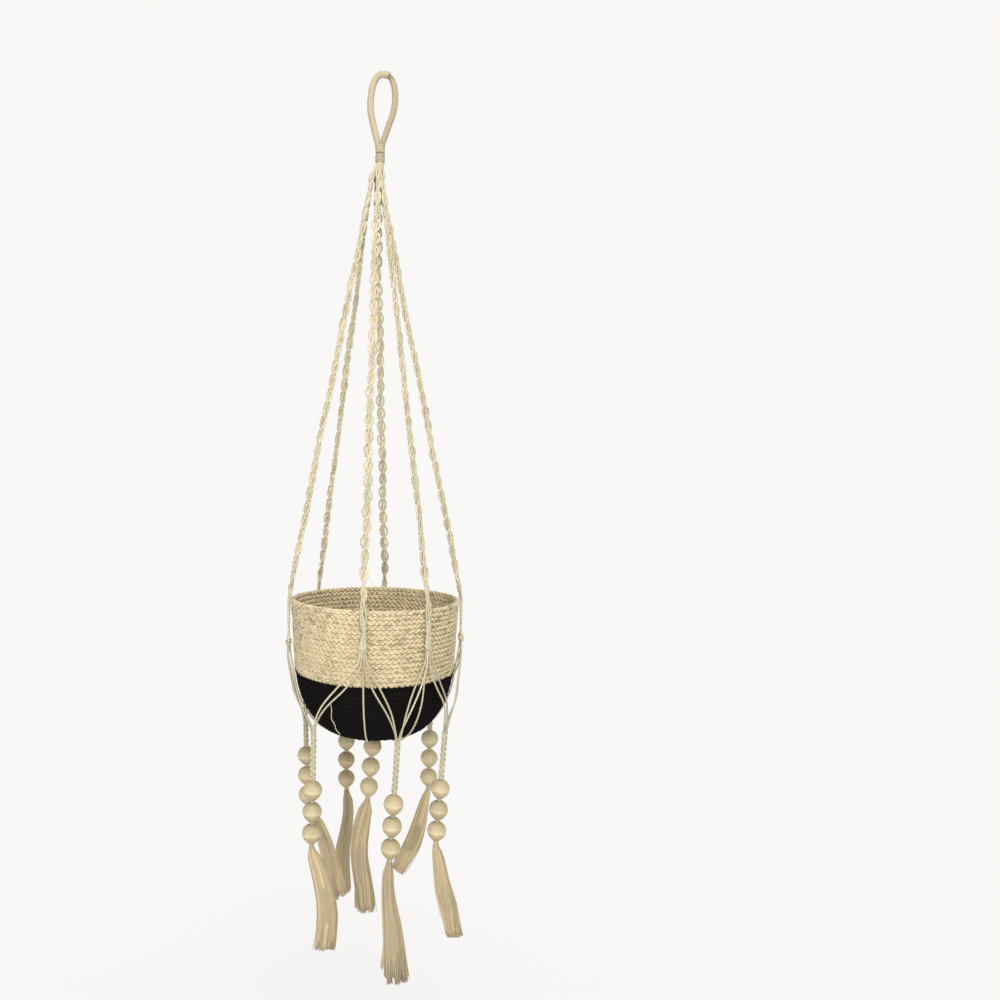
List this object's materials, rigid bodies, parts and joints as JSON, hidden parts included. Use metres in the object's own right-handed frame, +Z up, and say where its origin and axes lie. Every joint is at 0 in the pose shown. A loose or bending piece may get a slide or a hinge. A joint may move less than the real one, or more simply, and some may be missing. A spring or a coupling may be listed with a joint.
{
  "type": "hanging macrame planter",
  "caption": "Macrame plant hanger of knotted jute with a plaited two-tone basket, wooden beads and long tassels, hung from a wrapped loop.",
  "frame": {"origin": "where a hook bears inside the top of the hanging loop", "axes": "+Z up along the planter's long axis, -Y towards the front, the loop lies in the XZ plane"},
  "size_m": [0.2137, 0.2147, 1.0431],
  "materials": {
    "jute_cord": "two-ply twisted jute, matt",
    "wrapped_jute": "fine close jute wrapping, matt",
    "natural_plait": "three-strand plaited jute, sewn in rows",
    "black_plait": "black dyed plaited jute, matt",
    "combed_jute": "combed jute fibre, slightly silky",
    "turned_wood": "turned pale wood, waxed"
  },
  "bodies": {
    "loop": {"hanging_loop": "wrapped_jute", "neck_whipping_upper": "wrapped_jute"},
    "neck": {"neck_whipping_lower": "wrapped_jute"},
    "sling": {"cord_crown": "jute_cord", "suspension_line_1": "jute_cord", "suspension_line_2": "jute_cord", "suspension_line_3": "jute_cord", "suspension_line_4": "jute_cord", "suspension_line_5": "jute_cord", "suspension_line_6": "jute_cord", "gathering_knot_1": "jute_cord", "gathering_knot_2": "jute_cord", "gathering_knot_3": "jute_cord", "gathering_knot_4": "jute_cord", "gathering_knot_5": "jute_cord", "gathering_knot_6": "jute_cord", "net_cords_1": "jute_cord", "net_cords_2": "jute_cord", "net_cords_3": "jute_cord", "net_cords_4": "jute_cord", "net_cords_5": "jute_cord", "net_cords_6": "jute_cord"},
    "basket": {"basket_wall": "natural_plait", "basket_bowl": "black_plait"},
    "string_1": {"stem_1": "jute_cord"},
    "string_1_tassel": {"tassel_1": "combed_jute"},
    "string_1_bead_upper": {"bead_1_upper": "turned_wood"},
    "string_1_bead_middle": {"bead_1_middle": "turned_wood"},
    "string_1_bead_lower": {"bead_1_lower": "turned_wood"},
    "string_2": {"stem_2": "jute_cord"},
    "string_2_tassel": {"tassel_2": "combed_jute"},
    "string_2_bead_upper": {"bead_2_upper": "turned_wood"},
    "string_2_bead_middle": {"bead_2_middle": "turned_wood"},
    "string_2_bead_lower": {"bead_2_lower": "turned_wood"},
    "string_3": {"stem_3": "jute_cord"},
    "string_3_tassel": {"tassel_3": "combed_jute"},
    "string_3_bead_upper": {"bead_3_upper": "turned_wood"},
    "string_3_bead_middle": {"bead_3_middle": "turned_wood"},
    "string_3_bead_lower": {"bead_3_lower": "turned_wood"},
    "string_4": {"stem_4": "jute_cord"},
    "string_4_tassel": {"tassel_4": "combed_jute"},
    "string_4_bead_upper": {"bead_4_upper": "turned_wood"},
    "string_4_bead_middle": {"bead_4_middle": "turned_wood"},
    "string_4_bead_lower": {"bead_4_lower": "turned_wood"},
    "string_5": {"stem_5": "jute_cord"},
    "string_5_tassel": {"tassel_5": "combed_jute"},
    "string_5_bead_upper": {"bead_5_upper": "turned_wood"},
    "string_5_bead_middle": {"bead_5_middle": "turned_wood"},
    "string_5_bead_lower": {"bead_5_lower": "turned_wood"},
    "string_6": {"stem_6": "jute_cord"},
    "string_6_tassel": {"tassel_6": "combed_jute"},
    "string_6_bead_upper": {"bead_6_upper": "turned_wood"},
    "string_6_bead_middle": {"bead_6_middle": "turned_wood"},
    "string_6_bead_lower": {"bead_6_lower": "turned_wood"},
    "string_centre": {"stem_centre": "jute_cord"},
    "string_centre_tassel": {"tassel_centre": "combed_jute"},
    "string_centre_bead_upper": {"bead_centre_upper": "turned_wood"},
    "string_centre_bead_middle": {"bead_centre_middle": "turned_wood"},
    "string_centre_bead_lower": {"bead_centre_lower": "turned_wood"}
  },
  "joints": [
    {"name": "neck_twist", "type": "hinge", "parent": "loop", "child": "neck", "pos_m": [0, 0, -0.091], "axis": [0, 0, 1], "range_deg": [-180, 180]},
    {"name": "sling_swing", "type": "hinge", "parent": "neck", "child": "sling", "pos_m": [0, 0, -0.1027], "axis": [1, 0, 0], "range_deg": [-15, 15]},
    {"name": "basket_turn", "type": "hinge", "parent": "sling", "child": "basket", "pos_m": [0, 0, -0.622], "axis": [0, 0, 1], "continuous": true},
    {"name": "string_1_swing", "type": "hinge", "parent": "sling", "child": "string_1", "pos_m": [-0.08381, 0.02646, -0.7806], "axis": [0.3007, 0.9537, 0], "range_deg": [-6, 45]},
    {"name": "string_2_swing", "type": "hinge", "parent": "sling", "child": "string_2", "pos_m": [-0.03553, 0.08377, -0.7736], "axis": [0.9205, 0.3907, 0], "range_deg": [-8, 45]},
    {"name": "string_3_swing", "type": "hinge", "parent": "sling", "child": "string_3", "pos_m": [0.07219, 0.0617, -0.7716], "axis": [0.6494, -0.7604, 0], "range_deg": [-8, 45]},
    {"name": "string_4_swing", "type": "hinge", "parent": "sling", "child": "string_4", "pos_m": [0.08209, -0.04105, -0.77359], "axis": [-0.4462, -0.8949, 0], "range_deg": [-8, 45]},
    {"name": "string_5_swing", "type": "hinge", "parent": "sling", "child": "string_5", "pos_m": [0.02642, -0.08702, -0.77159], "axis": [-0.9563, -0.2924, 0], "range_deg": [-8, 45]},
    {"name": "string_6_swing", "type": "hinge", "parent": "sling", "child": "string_6", "pos_m": [-0.06766, -0.06089, -0.7726], "axis": [-0.6691, 0.7431, 0], "range_deg": [-8, 45]},
    {"name": "string_centre_swing", "type": "hinge", "parent": "sling", "child": "string_centre", "pos_m": [-0.00063, 0, -0.79551], "axis": [0, 1, 0], "range_deg": [-8, 8]},
    {"name": "tassel_1_sway", "type": "hinge", "parent": "string_1", "child": "string_1_tassel", "pos_m": [-0.08017, 0.02646, -0.88486], "axis": [-0.9537, 0.3007, 0], "range_deg": [-5, 15]},
    {"name": "tassel_2_sway", "type": "hinge", "parent": "string_2", "child": "string_2_tassel", "pos_m": [-0.03455, 0.08377, -0.8851], "axis": [-0.3907, 0.9205, 0], "range_deg": [-12, 12]},
    {"name": "tassel_3_sway", "type": "hinge", "parent": "string_3", "child": "string_3_tassel", "pos_m": [0.07076, 0.0617, -0.87399], "axis": [0.7604, 0.6494, 0], "range_deg": [-12, 12]},
    {"name": "tassel_4_sway", "type": "hinge", "parent": "string_4", "child": "string_4_tassel", "pos_m": [0.07289, -0.04105, -0.89893], "axis": [0.8949, -0.4462, 0], "range_deg": [-15, 15]},
    {"name": "tassel_5_sway", "type": "hinge", "parent": "string_5", "child": "string_5_tassel", "pos_m": [0.01926, -0.08702, -0.8997], "axis": [0.2924, -0.9563, 0], "range_deg": [-15, 15]},
    {"name": "tassel_6_sway", "type": "hinge", "parent": "string_6", "child": "string_6_tassel", "pos_m": [-0.06872, -0.06089, -0.8952], "axis": [-0.7431, -0.6691, 0], "range_deg": [-15, 10]},
    {"name": "tassel_centre_sway", "type": "hinge", "parent": "string_centre", "child": "string_centre_tassel", "pos_m": [-0.00604, 0, -0.86433], "axis": [1, 0, 0], "range_deg": [-8, 8]},
    {"name": "bead_1_upper_spin", "type": "hinge", "parent": "string_1", "child": "string_1_bead_upper", "pos_m": [-0.08239, 0.02646, -0.8214], "axis": [-0.0349, 0, 0.9994], "continuous": true},
    {"name": "bead_1_middle_spin", "type": "hinge", "parent": "string_1", "child": "string_1_bead_middle", "pos_m": [-0.08154, 0.02646, -0.84579], "axis": [-0.0349, 0, 0.9994], "continuous": true},
    {"name": "bead_1_lower_spin", "type": "hinge", "parent": "string_1", "child": "string_1_bead_lower", "pos_m": [-0.08068, 0.02646, -0.87017], "axis": [-0.0349, 0, 0.9994], "continuous": true},
    {"name": "bead_2_upper_spin", "type": "hinge", "parent": "string_2", "child": "string_2_bead_upper", "pos_m": [-0.03511, 0.08377, -0.8216], "axis": [-0.0087, 0, 1], "continuous": true},
    {"name": "bead_2_middle_spin", "type": "hinge", "parent": "string_2", "child": "string_2_bead_middle", "pos_m": [-0.0349, 0.08377, -0.846], "axis": [-0.0087, 0, 1], "continuous": true},
    {"name": "bead_2_lower_spin", "type": "hinge", "parent": "string_2", "child": "string_2_bead_lower", "pos_m": [-0.03468, 0.08377, -0.8704], "axis": [-0.0087, 0, 1], "continuous": true},
    {"name": "bead_3_upper_spin", "type": "hinge", "parent": "string_3", "child": "string_3_bead_upper", "pos_m": [0.07165, 0.0617, -0.8105], "axis": [0.014, 0, 0.9999], "continuous": true},
    {"name": "bead_3_middle_spin", "type": "hinge", "parent": "string_3", "child": "string_3_bead_middle", "pos_m": [0.07131, 0.0617, -0.8349], "axis": [0.014, 0, 0.9999], "continuous": true},
    {"name": "bead_3_lower_spin", "type": "hinge", "parent": "string_3", "child": "string_3_bead_lower", "pos_m": [0.07097, 0.0617, -0.8593], "axis": [0.014, 0, 0.9999], "continuous": true},
    {"name": "bead_4_upper_spin", "type": "hinge", "parent": "string_4", "child": "string_4_bead_upper", "pos_m": [0.07754, -0.04105, -0.8356], "axis": [0.0732, 0, 0.9973], "continuous": true},
    {"name": "bead_4_middle_spin", "type": "hinge", "parent": "string_4", "child": "string_4_bead_middle", "pos_m": [0.07575, -0.04105, -0.85993], "axis": [0.0732, 0, 0.9973], "continuous": true},
    {"name": "bead_4_lower_spin", "type": "hinge", "parent": "string_4", "child": "string_4_bead_lower", "pos_m": [0.07396, -0.04105, -0.88427], "axis": [0.0732, 0, 0.9973], "continuous": true},
    {"name": "bead_5_upper_spin", "type": "hinge", "parent": "string_5", "child": "string_5_bead_upper", "pos_m": [0.0228, -0.08702, -0.8363], "axis": [0.0558, 0, 0.9984], "continuous": true},
    {"name": "bead_5_middle_spin", "type": "hinge", "parent": "string_5", "child": "string_5_bead_middle", "pos_m": [0.02144, -0.08702, -0.86066], "axis": [0.0558, 0, 0.9984], "continuous": true},
    {"name": "bead_5_lower_spin", "type": "hinge", "parent": "string_5", "child": "string_5_bead_lower", "pos_m": [0.02008, -0.08702, -0.88502], "axis": [0.0558, 0, 0.9984], "continuous": true},
    {"name": "bead_6_upper_spin", "type": "hinge", "parent": "string_6", "child": "string_6_bead_upper", "pos_m": [-0.06817, -0.06089, -0.8317], "axis": [0.0087, 0, 1], "continuous": true},
    {"name": "bead_6_middle_spin", "type": "hinge", "parent": "string_6", "child": "string_6_bead_middle", "pos_m": [-0.06838, -0.06089, -0.8561], "axis": [0.0087, 0, 1], "continuous": true},
    {"name": "bead_6_lower_spin", "type": "hinge", "parent": "string_6", "child": "string_6_bead_lower", "pos_m": [-0.0686, -0.06089, -0.8805], "axis": [0.0087, 0, 1], "continuous": true},
    {"name": "bead_centre_upper_spin", "type": "hinge", "parent": "string_centre", "child": "string_centre_bead_upper", "pos_m": [-0.00106, 0, -0.80103], "axis": [0.0785, 0, 0.9969], "continuous": true},
    {"name": "bead_centre_middle_spin", "type": "hinge", "parent": "string_centre", "child": "string_centre_bead_middle", "pos_m": [-0.00298, 0, -0.82535], "axis": [0.0785, 0, 0.9969], "continuous": true},
    {"name": "bead_centre_lower_spin", "type": "hinge", "parent": "string_centre", "child": "string_centre_bead_lower", "pos_m": [-0.00489, 0, -0.84968], "axis": [0.0785, 0, 0.9969], "continuous": true}
  ]
}
